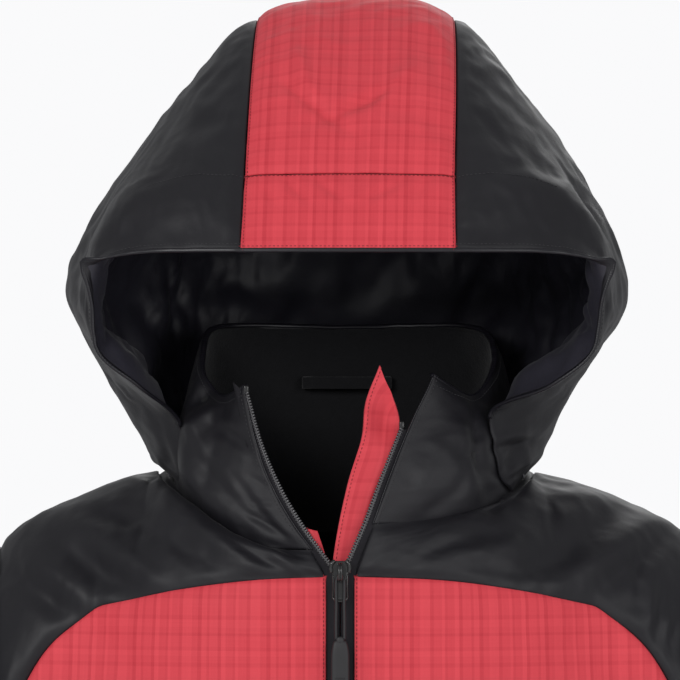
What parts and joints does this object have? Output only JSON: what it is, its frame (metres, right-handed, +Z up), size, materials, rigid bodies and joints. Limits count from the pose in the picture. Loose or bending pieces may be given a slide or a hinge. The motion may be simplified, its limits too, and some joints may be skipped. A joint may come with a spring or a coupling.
{
  "type": "ski jacket",
  "caption": "Hooded padded ski jacket with two-tone panels, open front zip with flap, stand collar, hand pockets, cuff straps and powder skirt.",
  "frame": {"origin": "middle of the wearer's neck, at the height where shoulder and neck meet", "axes": "+Z up along the wearer's back, -Y forwards (the zip side), +X to the wearer's left"},
  "size_m": [0.868, 0.2911, 1.0403],
  "materials": {
    "shell_red": "matte",
    "shell_black": "satin",
    "lining": "satin",
    "fleece": "matte",
    "zip_cloth": "matte",
    "coil": "satin",
    "gunmetal": "gloss",
    "foam": "matte",
    "pull_rubber": "satin"
  },
  "bodies": {
    "jacket": {"front_panel_right": "shell_red", "yoke_front_right": "shell_black", "front_lining_right": "lining", "sleeve_outer_right": "shell_black", "sleeve_under_right": "shell_black", "sleeve_lining_right": "lining", "cuff_band_right": "shell_black", "cuff_gaiter_right": "fleece", "hood_side_right": "shell_black", "zip_tape_right": "zip_cloth", "zip_coil_right": "coil", "zip_top_stop_right": "gunmetal", "pocket_welt_right": "zip_cloth", "pocket_bag_right": "lining", "front_panel_left": "shell_red", "yoke_front_left": "shell_black", "front_lining_left": "lining", "sleeve_outer_left": "shell_black", "sleeve_under_left": "shell_black", "sleeve_lining_left": "lining", "cuff_band_left": "shell_black", "cuff_gaiter_left": "fleece", "hood_side_left": "shell_black", "zip_tape_left": "zip_cloth", "zip_coil_left": "coil", "zip_top_stop_left": "gunmetal", "pocket_welt_left": "zip_cloth", "pocket_bag_left": "lining", "back_panel": "shell_red", "yoke_back": "shell_black", "back_lining": "lining", "hem_band": "shell_black", "powder_skirt": "lining", "hood_peak_panel": "shell_red", "hood_centre_panel": "shell_red", "hood_peak_stiffener": "foam", "hood_lining": "lining", "collar_shell": "shell_black", "collar_lining": "fleece", "zip_bottom_box": "gunmetal", "storm_flap": "shell_red", "facing_strip": "shell_red", "hang_loop": "zip_cloth"},
    "main_slider": {"main_zip_slider": "gunmetal"},
    "main_pull": {"main_pull_cord": "pull_rubber", "main_pull_grip": "pull_rubber"},
    "pocket_runner_right": {"pocket_slider_right": "gunmetal"},
    "pocket_tab_right": {"pocket_puller_right": "pull_rubber"},
    "cuff_strap_right": {"cuff_tab_right": "pull_rubber"},
    "pocket_runner_left": {"pocket_slider_left": "gunmetal"},
    "pocket_tab_left": {"pocket_puller_left": "pull_rubber"},
    "cuff_strap_left": {"cuff_tab_left": "pull_rubber"}
  },
  "joints": [
    {"name": "main_zip_slide", "type": "slide", "parent": "jacket", "child": "main_slider", "axis": [0, 0, 1], "range_m": [-0.62, 0]},
    {"name": "main_pull_swing", "type": "hinge", "parent": "main_slider", "child": "main_pull", "pos_m": [-0.0045, -0.1317, -0.0654], "axis": [1, 0, 0], "range_deg": [-100, 0]},
    {"name": "pocket_zip_slide_right", "type": "slide", "parent": "jacket", "child": "pocket_runner_right", "axis": [0, 0, 1], "range_m": [-0.138, 0]},
    {"name": "pocket_tab_swing_right", "type": "hinge", "parent": "pocket_runner_right", "child": "pocket_tab_right", "pos_m": [-0.15206, -0.10443, -0.4176], "axis": [0.9099, -0.4149, 0], "range_deg": [-100, 0]},
    {"name": "cuff_strap_open_right", "type": "hinge", "parent": "jacket", "child": "cuff_strap_right", "pos_m": [-0.42977, -0.04097, -0.65193], "axis": [-0.1527, -0.0116, -0.9882], "range_deg": [0, 95]},
    {"name": "pocket_zip_slide_left", "type": "slide", "parent": "jacket", "child": "pocket_runner_left", "axis": [0, 0, 1], "range_m": [-0.138, 0]},
    {"name": "pocket_tab_swing_left", "type": "hinge", "parent": "pocket_runner_left", "child": "pocket_tab_left", "pos_m": [0.15206, -0.10443, -0.4176], "axis": [0.9099, 0.4149, 0], "range_deg": [-100, 0]},
    {"name": "cuff_strap_open_left", "type": "hinge", "parent": "jacket", "child": "cuff_strap_left", "pos_m": [0.42977, -0.04097, -0.65193], "axis": [0.1527, -0.0116, -0.9882], "range_deg": [-95, 0]}
  ]
}
